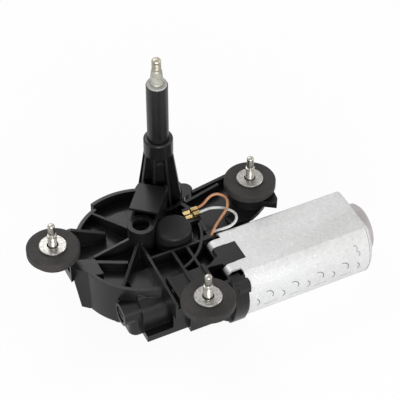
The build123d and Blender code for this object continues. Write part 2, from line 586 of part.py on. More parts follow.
def socket_pins():
    """Flat blades moulded into the socket's end wall."""
    blades = []
    for x in PIN_X:
        blades.append(box(x - 1.4, x + 1.4, SOCKET_Y0 + 2, SOCKET_Y0 + 11, SOCKET_Z - 0.4, SOCKET_Z + 0.4))
    return Compound(blades)


# ---------------------------------------------------------------- mounts
def grommet(at):
    top = cyl(GROMMET_R, EYE_Z1, RUBBER_TOP, at)
    top = chamfer(top.edges().filter_by(GeomType.CIRCLE), 0.8)
    waist = cyl(GROMMET_NECK_R, EYE_Z0 - 0.5, EYE_Z1 + 0.5, at)
    foot_h = FOOT_H - FIT
    foot = Pos(at[0], at[1], FOOT_Z0 + foot_h / 2) * Cone(FOOT_TIP_R, FOOT_R, foot_h)
    body = union([top, waist, foot])
    return body - cyl(MOUNT_SLEEVE_R + FIT, FOOT_Z0 - 1, RUBBER_TOP + 1, at)


def mount_sleeve(at):
    flange = cyl(WASHER_R, RUBBER_TOP, RUBBER_TOP + WASHER_T, at)
    flange = chamfer(flange.edges().filter_by(GeomType.CIRCLE).sort_by(Axis.Z)[-1], 0.4)
    barrel = cyl(MOUNT_SLEEVE_R, FOOT_Z0, RUBBER_TOP + 0.5, at)
    return (flange + barrel) - cyl(PRESS_R + FIT, 0, RUBBER_TOP + 5, at)


def mount_stud(at):
    """Headed stud pressed up through the sleeve, with a necked point."""
    head = cyl(MOUNT_SLEEVE_R + 1.5, STUD_Z0, FOOT_Z0, at)
    neck_z = RUBBER_TOP + 10.6
    shank = cyl(PRESS_R, STUD_Z0, RUBBER_TOP + WASHER_T, at) + cyl(STUD_R, STUD_Z0, neck_z, at)
    groove = cyl(STUD_R - 1.1, neck_z - 0.5, neck_z + 1.2, at)
    point = cyl(STUD_R - 0.7, neck_z + 1.2, STUD_TOP, at)
    point = chamfer(point.edges().filter_by(GeomType.CIRCLE).sort_by(Axis.Z)[-1], 0.9)
    return union([head, shank, groove, point])


# ---------------------------------------------------------------- output shaft
def shaft_sleeve():
    return tube(SLEEVE_R, SLEEVE_R - SLEEVE_WALL, SLEEVE_Z0 + FIT, SLEEVE_TOP)


def sleeve_seal():
    ring = tube(SLEEVE_R - 0.5, SHAFT_R + RUN, SLEEVE_TOP + 0.02, SLEEVE_TOP + 1.3)
    return ring


def upper_bush():
    top = SLEEVE_TOP - 0.5
    return tube(SLEEVE_R - SLEEVE_WALL - 0.02, SHAFT_R + RUN, top - UPPER_BUSH_L, top)


def lower_bush():
    return tube(BUSH_R - 0.02, SHAFT_R + RUN, LINK_CEILING, LOWER_BUSH_TOP - 4.0)


def output_shaft():
    journal = cyl(SHAFT_R, LEVER_Z0, CONE_Z0)
    cone = Pos(0, 0, (CONE_Z0 + CONE_Z1) / 2) * Cone(CONE_R0, CONE_R1, CONE_Z1 - CONE_Z0)
    stud = cyl(THREAD_R, CONE_Z1, SHAFT_TOP)
    stud = chamfer(stud.edges().filter_by(GeomType.CIRCLE).sort_by(Axis.Z)[-1], 0.9)
    return union([journal, cone, stud])


def output_lever():
    hub = cyl(SHAFT_R + 3.2, LEVER_Z0, LEVER_Z1 + 1.5)
    tip = cyl(EYE_OUT, LEVER_Z0, LEVER_Z1, LEVER_PIN)
    web = bar(SHAFT, LEVER_PIN, 9.0, LEVER_Z0, LEVER_Z1)
    lever = union([hub, tip, web])
    pin_hole = cyl(PIN_R, LEVER_Z0 - 1, LEVER_Z1 + 1, LEVER_PIN)
    return lever - cyl(SHAFT_R, LEVER_Z0 - 1, LEVER_Z1 + 3) - pin_hole


def lever_pin():
    head = cyl(PIN_R + 1.2, LEVER_Z1, LEVER_Z1 + 1.4, LEVER_PIN)
    return head + cyl(PIN_R, LEVER_Z0, LEVER_Z1 + 0.5, LEVER_PIN)


# ---------------------------------------------------------------- wheel and crank
def worm_wheel():
    tip_r = WHEEL_PITCH_R + MODULE
    root = MODULE * 1.2
    blank = cyl(tip_r, WHEEL_Z0, WHEEL_Z1, WHEEL)
    half_gap = AXIAL_PITCH / 4 + BACKLASH / 2
    spread = math.tan(math.radians(FLANK_ANGLE + 90 / WHEEL_TEETH))
    lean = AXIAL_PITCH / (2 * math.pi * WORM_PITCH_R)
    rise = WHEEL_FACE + 2
    low = -rise / 2
    r0, r1 = WHEEL_PITCH_R - root, tip_r + 0.6
    w0, w1 = half_gap - root * spread, half_gap + (MODULE + 0.6) * spread
    shift = low * lean
    corners = [(shift - w0, -r0), (shift + w0, -r0), (shift + w1, -r1), (shift - w1, -r1)]
    face = make_face(Polyline(*corners, close=True))
    cutter = Pos(0, 0, low) * extrude(face, amount=rise * math.hypot(1, lean), dir=(lean, 0, 1))
    cutters = [Rot(0, 0, k * 360 / WHEEL_TEETH) * cutter for k in range(WHEEL_TEETH)]
    place = Pos(WHEEL_X, WHEEL_Y, MOTOR_Z)
    wheel = blank - [place * c for c in cutters]
    wheel = wheel - tube(WHEEL_PITCH_R - 5, 11.0, WHEEL_Z1 - 3.0, WHEEL_Z1 + 1, WHEEL)
    wheel = wheel - tube(WHEEL_PITCH_R - 5, CRANK + PIN_R + 3.5, WHEEL_Z0 - 1, WHEEL_Z0 + 3.0, WHEEL)
    wheel = wheel - cyl(AXLE_R + RUN, 0, 60, WHEEL)
    return wheel - cyl(PIN_R, 0, WHEEL_Z1 - 3.0 + 0.01, CRANK_PIN)


PARK_R = 10.6
PARK_W = 4.2
PARK_T = 0.5
PARK_GAP = 5.0
FINGER_W = 3.0
FINGER_L = 14.4


def park_disc():
    """Brass ring on the wheel's top with the gap that stops the motor at rest."""
    ring = tube(PARK_R, PARK_R - PARK_W, WHEEL_Z1, WHEEL_Z1 + PARK_T, WHEEL)
    inner, outer = polar(WHEEL, PARK_R - PARK_W / 2 - 0.3, 40), polar(WHEEL, PARK_R + 3.4, 40)
    return ring - bar(inner, outer, PARK_GAP, WHEEL_Z1 - 1, WHEEL_Z1 + 2)


def park_contacts():
    """Three spring fingers that hang from the case's floor over the ring."""
    fingers = []
    for angle, reach in ((150, PARK_R - 1.0), (180, PARK_R - 1.0), (210, PARK_R - 2.4)):
        tip = polar(WHEEL, reach, angle)
        root = polar(WHEEL, reach + FINGER_L, angle)
        strip = bar(tip, root, FINGER_W, CEILING - 0.9, CEILING - 0.4)
        bead = cyl(1.1, WHEEL_Z1 + PARK_T + GAP, CEILING - 0.5, tip)
        pad = bar(polar(WHEEL, reach + FINGER_L - 5.0, angle), root, FINGER_W, CEILING - 0.5, CEILING)
        fingers.append(union([strip, bead, pad]))
    return Compound(fingers)


def wheel_axle():
    pin = cyl(AXLE_R, LEVER_Z1 + 1.0, AXLE_TOP, WHEEL)
    head = cyl(AXLE_R + 1.2, WHEEL_Z0 - GAP - 1.2, WHEEL_Z0 - GAP, WHEEL)
    return pin + head


def crank_pin():
    shoulder = cyl(PIN_R + 1.4, ROD_Z1 + GAP, WHEEL_Z0, CRANK_PIN)
    pin = cyl(PIN_R, ROD_Z0 - 1.6, WHEEL_Z1 - 3.0, CRANK_PIN)
    return shoulder + pin


def rod_clip():
    return tube(PIN_R + 1.8, PIN_R, ROD_Z0 - GAP - 0.8, ROD_Z0 - GAP, CRANK_PIN)


def connecting_rod():
    eyes = [cyl(EYE_OUT, ROD_Z0, ROD_Z1, CRANK_PIN), cyl(EYE_OUT, ROD_Z0, ROD_Z1, LEVER_PIN)]
    web = bar(CRANK_PIN, LEVER_PIN, 7.0, ROD_Z0, ROD_Z1)
    rod = union(eyes + [web])
    return rod - cyl(PIN_R + RUN, 0, 30, CRANK_PIN) - cyl(PIN_R + RUN, 0, 30, LEVER_PIN)


# ---------------------------------------------------------------- motor
COMM_X0, COMM_X1 = 20.0, 32.0
COMM_R = 9.0
CORE_X0, CORE_X1 = 44.0, 84.0
ROTOR_X0 = -52.0
ROTOR_X1 = 108.0
BRUSH_X = 25.5
HOLDER_X = 18.4


def motor_can():
    shell = can_solid(CAN_X0, CAN_X1)
    far = shell.faces().sort_by(Axis.X)[-1]
    shell = chamfer(far.edges(), 1.6)
    boss = cyl_x(BOSS_R, CAN_X1 - 2, BOSS_X)
    boss = chamfer(boss.edges().filter_by(GeomType.CIRCLE).sort_by(Axis.X)[-1], 1.8)
    shell = shell + boss
    room = can_solid(CAN_X0 - 1, CAN_X1 - CAN_WALL, -CAN_WALL)
    shell = shell - room - cyl_x(BOSS_R - CAN_WALL, CAN_X1 - 5, BOSS_X - CAN_WALL)
    top = MOTOR_Z + CAN_HALF
    notch = box(CAN_X0 - 1, TONGUE_X, MOTOR_Y - TONGUE_W / 2, MOTOR_Y + TONGUE_W / 2, top - 3, top + 1)
    shell = shell - notch
    for side in (-1, 1):
        y = MOTOR_Y + side * TAB_Y
        run = box(CAN_X0 - 5.5, CAN_X0 + 1, y - TAB_W / 2, y + TAB_W / 2, top - CAN_WALL, top)
        plane = Plane(origin=(0, y, 0), x_dir=(1, 0, 0), z_dir=(0, -1, 0))
        bend = plane * (Pos(CAN_X0 - 5.5, top - 4.0) * (Circle(4.0) - Circle(4.0 - CAN_WALL)))
        quarter = plane * (Pos(CAN_X0 - 5.5 - 2.0, top - 2.0) * Rectangle(4.0, 4.0))
        curl = extrude(bend & quarter, TAB_W / 2, both=True)
        shell = union([shell, run, curl])
    return shell


def magnet(side):
    """Arc magnet; side is +1 for the rear one and -1 for the front one."""
    ring = cyl_x(CAN_R - CAN_WALL - FIT, CORE_X0 - 1, CORE_X1 + 1) - cyl_x(ARMATURE_R + 0.8, 0, 200)
    half = CAN_HALF - CAN_WALL - 3.4
    y0, y1 = sorted((MOTOR_Y + side * 8.0, MOTOR_Y + side * 40.0))
    return ring & box(0, 200, y0, y1, MOTOR_Z - half, MOTOR_Z + half)


def armature_shaft():
    """Shaft with the worm thread cut on its free end."""
    core = cyl_x(ROTOR_R, ROTOR_X0, ROTOR_X1)
    return core + worm_thread()


def worm_thread():
    turns = 6
    length = turns * AXIAL_PITCH
    x0 = WHEEL_X - length / 2
    pitch_half = AXIAL_PITCH / 4 - BACKLASH / 2
    slope = math.tan(math.radians(FLANK_ANGLE))
    root_r = ROTOR_R - 0.2
    wide = pitch_half + (WORM_PITCH_R - root_r) * slope
    narrow = pitch_half - (WORM_TIP_R - WORM_PITCH_R) * slope
    path = Helix(AXIAL_PITCH, length, WORM_PITCH_R)
    flat = Plane(origin=(WORM_PITCH_R, 0, 0), x_dir=(1, 0, 0), z_dir=(0, -1, 0))
    corners = [(root_r - WORM_PITCH_R, -wide), (WORM_TIP_R - WORM_PITCH_R, -narrow),
               (WORM_TIP_R - WORM_PITCH_R, narrow), (root_r - WORM_PITCH_R, wide)]
    face = flat * make_face(Polyline(*corners, close=True))
    thread = sweep(face, path, is_frenet=True)
    turned = Plane(origin=(x0, MOTOR_Y, MOTOR_Z), x_dir=(0, 1, 0), z_dir=(1, 0, 0))
    return turned * thread


def armature_core():
    disc = cyl_x(ARMATURE_R, CORE_X0, CORE_X1)
    slots = []
    for k in range(10):
        a = 36 * k
        cut = Pos(0, MOTOR_Y, MOTOR_Z) * Rot(a, 0, 0) * Pos(0, 0, ARMATURE_R - 3.5)
        slots.append(cut * box(CORE_X0 - 1, CORE_X1 + 1, -1.1, 1.1, -4.5, 6))
    return disc - slots - cyl_x(ROTOR_R, 0, 200)


def armature_windings():
    rings = []
    for x0, x1 in ((CORE_X0 - 8.0, CORE_X0), (CORE_X1, CORE_X1 + 8.0)):
        ring = cyl_x(ARMATURE_R - 2.0, x0, x1)
        ring = chamfer(ring.edges().filter_by(GeomType.CIRCLE), 2.0)
        rings.append(ring - cyl_x(ROTOR_R, 0, 200))
    return Compound(rings)


def commutator():
    drum = cyl_x(COMM_R, COMM_X0, COMM_X1) + cyl_x(COMM_R + 1.4, COMM_X1 - 2.5, COMM_X1)
    slots = []
    for k in range(10):
        cut = Pos(0, MOTOR_Y, MOTOR_Z) * Rot(36 * k + 18, 0, 0) * Pos(0, 0, COMM_R)
        slots.append(cut * box(COMM_X0 - 1, COMM_X1 + 1, -0.3, 0.3, -0.8, 2.5))
    return drum - slots - cyl_x(ROTOR_R, 0, 200)


def brush_holder():
    plate = can_solid(HOLDER_X, HOLDER_X + 3.0, -CAN_WALL - FIT) - cyl_x(COMM_R + 2.0, 0, 60)
    guides = []
    for side in (-1, 1):
        y0, y1 = sorted((MOTOR_Y + side * 11.0, MOTOR_Y + side * 24.0))
        guides.append(box(HOLDER_X, BRUSH_X + 5.0, y0, y1, MOTOR_Z - 5.0, MOTOR_Z + 5.0))
    holder = union([plate] + guides) & can_solid(0, 60, -CAN_WALL - FIT)
    slots = []
    for side in (-1, 1):
        y0, y1 = sorted((MOTOR_Y + side * 8.0, MOTOR_Y + side * 23.0))
        slots.append(box(BRUSH_X - 3.0, BRUSH_X + 3.0, y0, y1, MOTOR_Z - 3.0, MOTOR_Z + 3.0))
    return holder - slots


def brush(side):
    y0, y1 = sorted((MOTOR_Y + side * (COMM_R - 1.0), MOTOR_Y + side * 18.0))
    block = box(BRUSH_X - 2.9, BRUSH_X + 2.9, y0, y1, MOTOR_Z - 2.9, MOTOR_Z + 2.9)
    return block - cyl_x(COMM_R + GAP, 0, 60)


def brush_spring(side):
    """Pressure spring behind the brush, as the tube its coils fill."""
    y0, y1 = sorted((18.0 * side, 23.0 * side))
    centre = Pos(BRUSH_X, MOTOR_Y + (y0 + y1) / 2, MOTOR_Z) * Rot(90, 0, 0)
    return centre * (Cylinder(2.4, 4.98) - Cylinder(1.8, 6))


def rear_bearing():
    bush = cyl_x(7.5, BOSS_X - CAN_WALL - 7.0, BOSS_X - CAN_WALL - 0.5)
    bush = chamfer(bush.edges().filter_by(GeomType.CIRCLE), 1.2)
    return bush - cyl_x(ROTOR_R + RUN, 0, 200)


def bearing_retainer():
    plate = cyl_x(BOSS_R - CAN_WALL - FIT, BOSS_X - CAN_WALL - 4.5, BOSS_X - CAN_WALL - 3.3)
    return plate - cyl_x(7.6, 0, 200)


def front_bearing():
    return cyl_x(ROTOR_BUSH_R, NECK_X0 + 8.2, FLANGE_X + 1) - cyl_x(ROTOR_R + RUN, -100, 200)


def tail_bush():
    return cyl_x(5.5, ROTOR_X0 + 0.5, BODY_X0 + 1.5) - cyl_x(ROTOR_R + RUN, -100, 200)


def thrust_plug():
    plug = cyl_x(5.5, END_BOSS_X + 0.8, ROTOR_X0 - GAP)
    slot = box(END_BOSS_X, END_BOSS_X + 2.0, MOTOR_Y - 3.5, MOTOR_Y + 3.5, MOTOR_Z - 0.7, MOTOR_Z + 0.7)
    return plug - slot


# ---------------------------------------------------------------- switch cap, terminals and leads
CAP_PLACE = (-8.8, -40.5)
CAP_R = 11.7
CAP_Z0 = 36.6
CAP_TOP = 46.8
LEAD_R = 0.9
BLOCK_X0, BLOCK_X1 = 5.5, 13.0
BLOCK_TOP = 38.0
CRIMP_R = 1.6
CRIMP_L = 4.6
TONGUE_HALF = 1.5

LEAD_BROWN = [(13.6, -25.8, 39.6), (18.6, -25.8, 39.9), (25.0, -24.0, 45.0), (30.6, -25.4, 46.2),
              (34.4, -31.0, 45.4), (31.0, -38.3, 44.2), (26.3, -41.3, 43.2), (18.8, -46.8, 42.6),
              (14.6, -50.6, 42.2), (11.9, -52.2, 39.2)]
LEAD_WHITE = [(13.6, -29.9, 39.6), (18.9, -29.9, 40.2), (23.1, -32.3, 42.6), (30.8, -35.3, 41.6),
              (34.4, -43.4, 42.6), (31.9, -49.8, 43.3), (26.2, -53.2, 43.2), (19.4, -50.6, 40.4),
              (15.0, -48.9, 38.9)]


def cap_seat():
    """Raised round seat of the cap on the case's floor."""
    return cyl(CAP_R + 1.2, FLOOR_Z - 1, CAP_Z0, CAP_PLACE)


def switch_cap():
    cap = cyl(CAP_R, CAP_Z0, CAP_TOP, CAP_PLACE)
    return fillet(cap.edges().filter_by(GeomType.CIRCLE).sort_by(Axis.Z)[-1], 2.2)


def terminal_block():
    """Slotted block that holds the two crimped terminals."""
    block = box(BLOCK_X0, BLOCK_X1, -34.0, -21.0, FLOOR_Z - 1, BLOCK_TOP)
    landing = box(CAN_X0 - 5.0, CAN_X0 + 1.0, -53.6, -46.0, FLOOR_Z - 1, BLOCK_TOP)
    return block + landing


def terminal(lead):
    """Brass terminal: a flat tongue lying on the block and a crimped barrel round the lead's end."""
    x, y, z = lead[0]
    tongue = box(x - 8.6, x - 1.0, y - TONGUE_HALF, y + TONGUE_HALF, BLOCK_TOP, BLOCK_TOP + 0.8)
    barrel = cyl_x(CRIMP_R, x - CRIMP_L + 1.2, x + 1.2, y, z)
    return tongue + barrel - cyl_x(LEAD_R + 0.4, x - 0.15, x + 5, y, z)


def lead(points):
    """Limp wire: straight runs joined by tangent arcs."""
    radii = []
    for a, b, c in zip(points, points[1:], points[2:]):
        u, v = Vector(*b) - Vector(*a), Vector(*c) - Vector(*b)
        half = math.radians(u.get_angle(v)) / 2
        radii.append(0.45 * min(u.length, v.length) / math.tan(half))
    print("bend radii", [round(r, 1) for r in radii], "length", end=" ")
    path = FilletPolyline(*points, radius=radii)
    print(round(path.length, 1))
    start = Plane(origin=points[0], z_dir=path % 0)
    return sweep(start * Circle(LEAD_R), path)


NODES = {
    "gear_housing": gear_housing,
    "bottom_cover": bottom_cover,
    "cover_screws": cover_screws,
    "shaft_sleeve": shaft_sleeve,
    "sleeve_seal": sleeve_seal,
    "upper_bush": upper_bush,
    "lower_bush": lower_bush,
    "wheel_axle": wheel_axle,
    "motor_can": motor_can,
    "magnet_front": lambda: magnet(-1),
    "magnet_rear": lambda: magnet(1),
    "brush_holder": brush_holder,
    "brush_front": lambda: brush(-1),
    "brush_rear": lambda: brush(1),
    "brush_spring_front": lambda: brush_spring(-1),
    "brush_spring_rear": lambda: brush_spring(1),
    "rear_bearing": rear_bearing,
    "bearing_retainer": bearing_retainer,
    "front_bearing": front_bearing,
    "tail_bush": tail_bush,
    "thrust_plug": thrust_plug,
    "switch_cap": switch_cap,
    "socket_pins": socket_pins,
    "terminal_brown": lambda: terminal(LEAD_BROWN),
    "terminal_white": lambda: terminal(LEAD_WHITE),
    "lead_brown": lambda: lead(LEAD_BROWN),
    "lead_white": lambda: lead(LEAD_WHITE),
    "park_contacts": park_contacts,
    "armature_shaft": armature_shaft,
    "armature_core": armature_core,
    "armature_windings": armature_windings,
    "commutator": commutator,
    "worm_wheel": worm_wheel,
    "park_disc": park_disc,
    "crank_pin": crank_pin,
    "rod_clip": rod_clip,
    "connecting_rod": connecting_rod,
    "output_shaft": output_shaft,
    "output_lever": output_lever,
    "lever_pin": lever_pin,
}
for side, place in MOUNTS.items():
    NODES["grommet_" + side] = lambda place=place: grommet(place)
    NODES["mount_sleeve_" + side] = lambda place=place: mount_sleeve(place)
    NODES["mount_stud_" + side] = lambda place=place: mount_stud(place)


os.makedirs("parts", exist_ok=True)
for name, make in NODES.items():
    export_step(make(), "parts/" + name + ".step")
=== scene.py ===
import math

import bpy
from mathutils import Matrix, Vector


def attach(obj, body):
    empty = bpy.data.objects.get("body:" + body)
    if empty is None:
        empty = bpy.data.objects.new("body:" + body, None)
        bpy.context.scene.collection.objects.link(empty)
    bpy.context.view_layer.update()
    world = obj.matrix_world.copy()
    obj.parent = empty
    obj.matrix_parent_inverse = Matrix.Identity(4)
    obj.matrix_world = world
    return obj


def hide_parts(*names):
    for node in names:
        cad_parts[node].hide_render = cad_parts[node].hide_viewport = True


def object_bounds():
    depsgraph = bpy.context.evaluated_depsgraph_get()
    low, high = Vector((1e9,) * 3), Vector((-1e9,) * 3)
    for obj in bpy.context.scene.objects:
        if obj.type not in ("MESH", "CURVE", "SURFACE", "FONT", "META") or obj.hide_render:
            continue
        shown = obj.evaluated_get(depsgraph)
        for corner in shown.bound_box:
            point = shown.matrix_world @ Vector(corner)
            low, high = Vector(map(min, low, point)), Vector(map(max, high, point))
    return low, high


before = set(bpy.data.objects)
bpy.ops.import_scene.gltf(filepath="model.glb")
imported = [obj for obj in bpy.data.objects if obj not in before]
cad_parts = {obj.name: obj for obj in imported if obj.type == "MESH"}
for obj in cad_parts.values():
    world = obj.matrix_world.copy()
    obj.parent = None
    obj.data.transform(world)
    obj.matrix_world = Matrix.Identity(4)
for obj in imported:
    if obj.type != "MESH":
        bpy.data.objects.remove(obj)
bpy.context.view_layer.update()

MM = 0.001


# ---------------------------------------------------------------- camera
CAMERA_PLACE = (-0.30901, -0.69161, 0.774775)
CAMERA_TILT, CAMERA_TURN = 45.5, -26.1

cam_data = bpy.data.cameras.new("camera")
cam = bpy.data.objects.new("camera", cam_data)
bpy.context.scene.collection.objects.link(cam)
cam_data.sensor_width = 36.0
cam_data.lens = 144.0
cam_data.clip_start = 0.01
cam_data.clip_end = 20.0
cam.location = CAMERA_PLACE
cam.rotation_euler = (math.radians(CAMERA_TILT), 0.0, math.radians(CAMERA_TURN))
bpy.context.scene.camera = cam


# ---------------------------------------------------------------- helpers
def link(obj):
    bpy.context.scene.collection.objects.link(obj)
    return obj


def mesh_object(name, verts, faces, smooth=True):
    mesh = bpy.data.meshes.new(name)
    mesh.from_pydata(verts, [], faces)
    mesh.update()
    if smooth:
        for polygon in mesh.polygons:
            polygon.use_smooth = True
    return link(bpy.data.objects.new(name, mesh))


def set_material(obj, material):
    obj.data.materials.clear()
    obj.data.materials.append(material)


# ---------------------------------------------------------------- materials
class Nodes:
    """Short names for building a node tree."""

    def __init__(self, name):
        self.material = bpy.data.materials.new(name)
        self.material.use_nodes = True
        self.tree = self.material.node_tree
        self.bsdf = self.tree.nodes["Principled BSDF"]
        self.coords = self.tree.nodes.new("ShaderNodeTexCoord")

    def add(self, kind, **values):
        node = self.tree.nodes.new(kind)
        for key, value in values.items():
            setattr(node, key, value)
        return node

    def wire(self, source, target):
        self.tree.links.new(source, target)

    def noise(self, scale, detail, rough, stretch=None):
        node = self.add("ShaderNodeTexNoise")
        node.inputs["Scale"].default_value = scale
        node.inputs["Detail"].default_value = detail
        node.inputs["Roughness"].default_value = rough
        source = self.coords.outputs["Object"]
        if stretch:
            mapping = self.add("ShaderNodeMapping")
            mapping.inputs["Scale"].default_value = stretch
            self.wire(source, mapping.inputs["Vector"])
            source = mapping.outputs["Vector"]
        self.wire(source, node.inputs["Vector"])
        return node.outputs["Fac"]

    def spread(self, source, low, high, out_low=0.0, out_high=1.0):
        node = self.add("ShaderNodeMapRange")
        node.inputs["From Min"].default_value = low
        node.inputs["From Max"].default_value = high
        node.inputs["To Min"].default_value = out_low
        node.inputs["To Max"].default_value = out_high
        self.wire(source, node.inputs["Value"])
        return node.outputs["Result"]

    def blend(self, factor, colour_a, colour_b):
        node = self.add("ShaderNodeMix", data_type="RGBA")
        colour_in = [s for s in node.inputs if s.type == "RGBA"]
        for socket, colour in zip(colour_in, (colour_a, colour_b)):
            if isinstance(colour, tuple):
                socket.default_value = (*colour, 1.0)
            else:
                self.wire(colour, socket)
        factor_in = [s for s in node.inputs if s.name == "Factor" and s.type == "VALUE"][0]
        self.wire(factor, factor_in)
        return [s for s in node.outputs if s.type == "RGBA"][0]

    def bump(self, height, strength, distance, normal=None):
        node = self.add("ShaderNodeBump")
        node.inputs["Strength"].default_value = strength
        node.inputs["Distance"].default_value = distance
        self.wire(height, node.inputs["Height"])
        if normal:
            self.wire(normal, node.inputs["Normal"])
        return node.outputs["Normal"]

    def rounded(self, radius):
        node = self.add("ShaderNodeBevel", samples=4)
        node.inputs["Radius"].default_value = radius
        return node.outputs["Normal"]


def finish_material(name, dark, light, rough, metallic=0.0, patch=45.0, grain=1400.0, grain_depth=0.00004,
                    rough_swing=0.08, edge=0.0, dust=None, dust_amount=0.0, specular=0.5):
    """Surface with broad tone patches, fine grain in height and gloss, rounded edges and optional dust."""
    n = Nodes(name)
    broad = n.noise(patch, 4.0, 0.6)
    fine = n.noise(grain, 2.0, 0.5)
    colour = n.blend(n.spread(broad, 0.35, 0.65), dark, light)
    if dust:
        flecks = n.noise(520.0, 5.0, 0.75)
        colour = n.blend(n.spread(flecks, 0.62, 0.74, 0.0, dust_amount), colour, dust)
    n.wire(colour, n.bsdf.inputs["Base Color"])
    n.wire(n.spread(fine, 0.3, 0.7, rough - rough_swing, rough + rough_swing), n.bsdf.inputs["Roughness"])
    n.bsdf.inputs["Metallic"].default_value = metallic
    n.bsdf.inputs["Specular IOR Level"].default_value = specular
    normal = n.rounded(edge) if edge else None
    n.wire(n.bump(fine, 0.35, grain_depth, normal), n.bsdf.inputs["Normal"])
    return n.material


black_nylon = finish_material("black_nylon", (0.004, 0.004, 0.0045), (0.0085, 0.0085, 0.009), 0.32, edge=0.0005,
                              grain=1100.0, grain_depth=0.0000015, dust=(0.09, 0.086, 0.08), dust_amount=0.05,
                              rough_swing=0.02, specular=0.29)
cap_nylon = finish_material("cap_nylon", (0.012, 0.012, 0.013), (0.017, 0.017, 0.018), 0.45, edge=0.0005,
                            specular=0.22)
black_paint = finish_material("black_paint", (0.006, 0.006, 0.007), (0.011, 0.011, 0.012), 0.34, edge=0.0003,
                              rough_swing=0.04, specular=0.3)
grey_rubber = finish_material("grey_rubber", (0.021, 0.019, 0.018), (0.038, 0.034, 0.032), 0.6, edge=0.0006,
                              grain=700.0, grain_depth=0.00009, dust=(0.2, 0.185, 0.17), dust_amount=0.35,
                              specular=0.25)
zinc_steel = finish_material("zinc_steel", (0.23, 0.225, 0.21), (0.39, 0.38, 0.36), 0.34, 1.0, patch=520.0,
                             edge=0.0002, dust=(0.12, 0.115, 0.105), dust_amount=0.6)
stud_steel = finish_material("stud_steel", (0.34, 0.325, 0.29), (0.5, 0.48, 0.44), 0.34, 1.0, patch=200.0,
                             dust=(0.13, 0.11, 0.085), dust_amount=0.35)
shaft_steel = finish_material("shaft_steel", (0.38, 0.38, 0.33), (0.6, 0.59, 0.52), 0.36, 1.0, patch=300.0,
                              dust=(0.16, 0.145, 0.12), dust_amount=0.6)
tip_steel = finish_material("tip_steel", (0.27, 0.25, 0.2), (0.46, 0.425, 0.35), 0.4, 1.0, patch=300.0,
                            dust=(0.1, 0.08, 0.05), dust_amount=0.6)
ground_steel = finish_material("ground_steel", (0.5, 0.5, 0.5), (0.64, 0.64, 0.65), 0.25, 1.0, patch=120.0)
seal_white = finish_material("seal_white", (0.36, 0.355, 0.34), (0.5, 0.49, 0.47), 0.55, patch=200.0)
bronze = finish_material("bronze", (0.34, 0.2, 0.1), (0.5, 0.32, 0.16), 0.4, 1.0, patch=180.0)
ferrite = finish_material("ferrite", (0.05, 0.05, 0.055), (0.09, 0.09, 0.1), 0.6)
brown_plastic = finish_material("brown_plastic", (0.14, 0.07, 0.035), (0.2, 0.11, 0.06), 0.55)
carbon = finish_material("carbon", (0.03, 0.03, 0.03), (0.06, 0.06, 0.06), 0.7)
brass = finish_material("brass", (0.3, 0.21, 0.085), (0.58, 0.44, 0.2), 0.24, 1.0, patch=300.0, edge=0.0001)
tinned = finish_material("tinned", (0.55, 0.54, 0.5), (0.72, 0.7, 0.66), 0.3, 1.0, patch=300.0)
dark_steel = finish_material("dark_steel", (0.12, 0.12, 0.13), (0.2, 0.2, 0.21), 0.5, 1.0)
copper = finish_material("copper", (0.45, 0.16, 0.06), (0.66, 0.27, 0.11), 0.35, 0.8, patch=600.0)
acetal = finish_material("acetal", (0.6, 0.6, 0.56), (0.74, 0.73, 0.68), 0.42)
brown_wire = finish_material("brown_wire", (0.40, 0.17, 0.075), (0.56, 0.27, 0.13), 0.42, patch=120.0)
white_wire = finish_material("white_wire", (0.52, 0.53, 0.52), (0.68, 0.69, 0.67), 0.42, patch=120.0)
# Dark colour for painted shade in the can's seam and along its end rim.
seam_shade_dark = finish_material("seam_shade_dark", (0.05, 0.05, 0.05), (0.11, 0.11, 0.115), 0.5, 0.4)

BOSS_X = 0.1062     # where the sheet's finish gives way to the drawn boss
BOSS_BLEND = 0.0004


def galvanised():
    """Zinc-coated sheet: faint spangle, fine dull and bright flecks, and a duller drawn boss at the closed end."""
    n = Nodes("galvanised")
    broad = n.noise(38.0, 3.0, 0.6, (0.35, 1.0, 1.0))
    cells = n.add("ShaderNodeTexVoronoi")
    cells.inputs["Scale"].default_value = 520.0
    n.wire(n.coords.outputs["Object"], cells.inputs["Vector"])
    tone = n.blend(n.spread(broad, 0.3, 0.7), (0.52, 0.52, 0.51), (0.63, 0.635, 0.64))
    grains = n.blend(n.spread(cells.outputs["Color"], 0.2, 0.9, 0.0, 0.4), tone, (0.7, 0.7, 0.69))
    dull = n.noise(760.0, 5.0, 0.85)
    flecked = n.blend(n.spread(dull, 0.56, 0.68, 0.0, 0.7), grains, (0.27, 0.265, 0.25))
    bright = n.noise(640.0, 5.0, 0.85)
    sheet = n.blend(n.spread(bright, 0.57, 0.66, 0.0, 0.9), flecked, (0.86, 0.86, 0.85))
    place = n.add("ShaderNodeSeparateXYZ")
    n.wire(n.coords.outputs["Object"], place.inputs[0])
    boss = n.blend(n.spread(broad, 0.3, 0.7), (0.40, 0.37, 0.37), (0.52, 0.49, 0.485))
    colour = n.blend(n.spread(place.outputs["X"], BOSS_X - BOSS_BLEND, BOSS_X), sheet, boss)
    n.wire(colour, n.bsdf.inputs["Base Color"])
    n.bsdf.inputs["Metallic"].default_value = 0.45
    n.wire(n.spread(broad, 0.3, 0.7, 0.36, 0.46), n.bsdf.inputs["Roughness"])
    height = n.noise(1500.0, 2.0, 0.5)
    n.wire(n.bump(height, 0.25, 0.00003, n.rounded(0.0005)), n.bsdf.inputs["Normal"])
    return n.material


can_zinc = galvanised()

